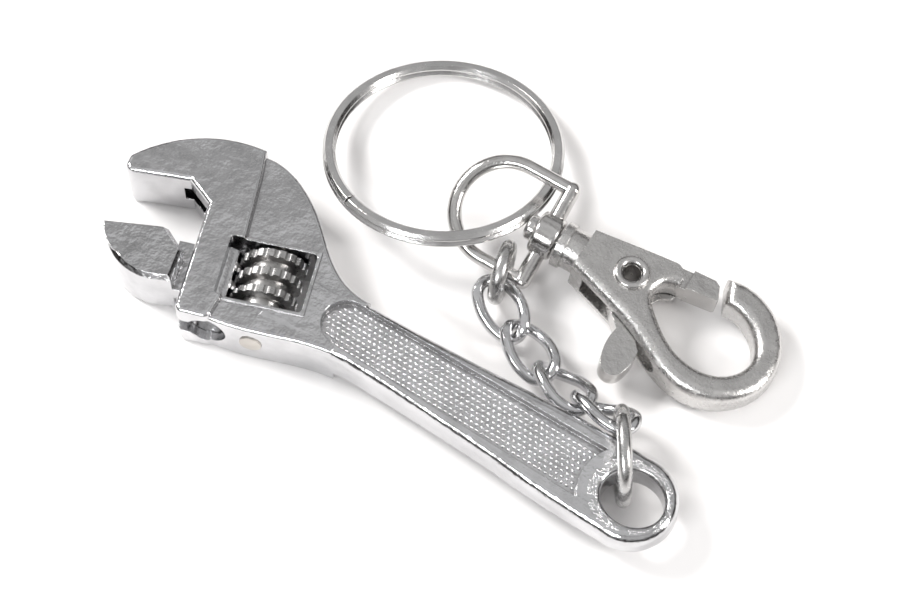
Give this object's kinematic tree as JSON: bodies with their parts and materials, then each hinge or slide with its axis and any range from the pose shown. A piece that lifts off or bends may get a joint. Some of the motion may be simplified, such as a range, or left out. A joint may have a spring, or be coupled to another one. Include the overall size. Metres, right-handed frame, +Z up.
{
  "type": "adjustable wrench",
  "caption": "Key-ring adjustable wrench with a sliding jaw driven by a fluted worm knurl, a short curb chain, a swivel trigger clasp and a split ring.",
  "frame": {"origin": "on the flat underside of the wrench's head, below the centre of the knurl window and on the handle's centre line", "axes": "+X along the handle to the eye, +Z up, out of the face that the picture shows, +Y towards the chain and clasp"},
  "size_m": [0.0679, 0.0445, 0.0103],
  "materials": {
    "wrench_chrome": "polished chrome plate on a zinc casting",
    "jaw_chrome": "polished chrome plate",
    "knurl_steel": "turned and fluted steel, plated",
    "pin_steel": "turned steel, plain end face",
    "jump_ring_steel": "drawn nickel-plated wire",
    "link_chrome": "polished, diamond-cut flats",
    "swivel_nickel": "polished nickel plate",
    "post_nickel": "polished nickel plate",
    "clasp_nickel": "nickel plate on a grainy casting",
    "lever_nickel": "nickel plate",
    "rivet_nickel": "rolled hollow rivet",
    "spring_steel": "hard-drawn spring wire",
    "split_ring_nickel": "polished nickel-plated flat wire"
  },
  "bodies": {
    "wrench": {"wrench_body": "wrench_chrome", "knurl_pin": "pin_steel"},
    "jaw": {"moving_jaw": "jaw_chrome"},
    "knurl": {"adjusting_knurl": "knurl_steel"},
    "eye_ring": {"eye_jump_ring": "jump_ring_steel"},
    "link_1": {"chain_link_1": "link_chrome"},
    "link_2": {"chain_link_2": "link_chrome"},
    "link_3": {"chain_link_3": "link_chrome"},
    "link_4": {"chain_link_4": "link_chrome"},
    "upper_ring": {"upper_jump_ring": "jump_ring_steel"},
    "swivel": {"swivel_eye": "swivel_nickel"},
    "clasp": {"clasp_body": "clasp_nickel", "swivel_post": "post_nickel", "pivot_rivet": "rivet_nickel", "trigger_spring": "spring_steel"},
    "lever": {"trigger_lever": "lever_nickel"},
    "ring": {"split_ring": "split_ring_nickel"}
  },
  "joints": [
    {"name": "jaw_slide", "type": "slide", "parent": "wrench", "child": "jaw", "axis": [0.342, -0.9397, 0], "range_m": [-0.0058, 0.003]},
    {"name": "knurl_spin", "type": "hinge", "parent": "wrench", "child": "knurl", "pos_m": [0, 0, 0.00345], "axis": [0.342, -0.9397, 0], "range_deg": [-516, 996]},
    {"name": "eye_ring_turn", "type": "hinge", "parent": "wrench", "child": "eye_ring", "pos_m": [0.04036, 0.00323, 0.00515], "axis": [0.827, 0.562, 0.0122], "range_deg": [0, 45]},
    {"name": "link_1_swing", "type": "hinge", "parent": "eye_ring", "child": "link_1", "pos_m": [0.03789, 0.00687, 0.00496], "axis": [-0.0348, 0.0295, 0.999], "range_deg": [-25, 0]},
    {"name": "link_2_swing", "type": "hinge", "parent": "link_1", "child": "link_2", "pos_m": [0.03348, 0.00708, 0.00234], "axis": [0.8223, 0.2212, -0.5244], "range_deg": [0, 7]},
    {"name": "link_3_swing", "type": "hinge", "parent": "link_2", "child": "link_3", "pos_m": [0.02772, 0.00821, 0.00252], "axis": [0.0357, 0.4863, -0.873], "range_deg": [-5, 15]},
    {"name": "link_4_swing", "type": "hinge", "parent": "link_3", "child": "link_4", "pos_m": [0.02334, 0.01102, 0.00203], "axis": [0.82, 0.392, -0.4172], "range_deg": [-5, 10]},
    {"name": "upper_ring_swing", "type": "hinge", "parent": "link_4", "child": "upper_ring", "pos_m": [0.01947, 0.01373, 0.00301], "axis": [0.9948, 0.1022, 0.0009], "range_deg": [-15, 15]},
    {"name": "swivel_eye_swing", "type": "hinge", "parent": "upper_ring", "child": "swivel", "pos_m": [0.01858, 0.01519, 0.0028], "axis": [0.9921, 0.0694, -0.1045], "range_deg": [-15, 30]},
    {"name": "clasp_swivel", "type": "hinge", "parent": "swivel", "child": "clasp", "pos_m": [0.0208, 0.0202, 0.0047], "axis": [0.9921, 0.0694, -0.1045], "continuous": true},
    {"name": "split_ring_turn", "type": "hinge", "parent": "swivel", "child": "ring", "pos_m": [0.0059, 0.02345, 0.00329], "axis": [-0.0872, 0.1661, 0.9822], "continuous": true},
    {"name": "lever_press", "type": "hinge", "parent": "clasp", "child": "lever", "pos_m": [0.03045, 0.0205, 0.00369], "axis": [-0.1043, -0.0073, -0.9945], "range_deg": [0, 20], "stiffness_Nm_per_rad": 0.02, "springref_deg": -17.19}
  ],
  "couplings": [
    {"joint": "knurl_spin", "follows": "jaw_slide", "rad_per_m": -2992}
  ]
}
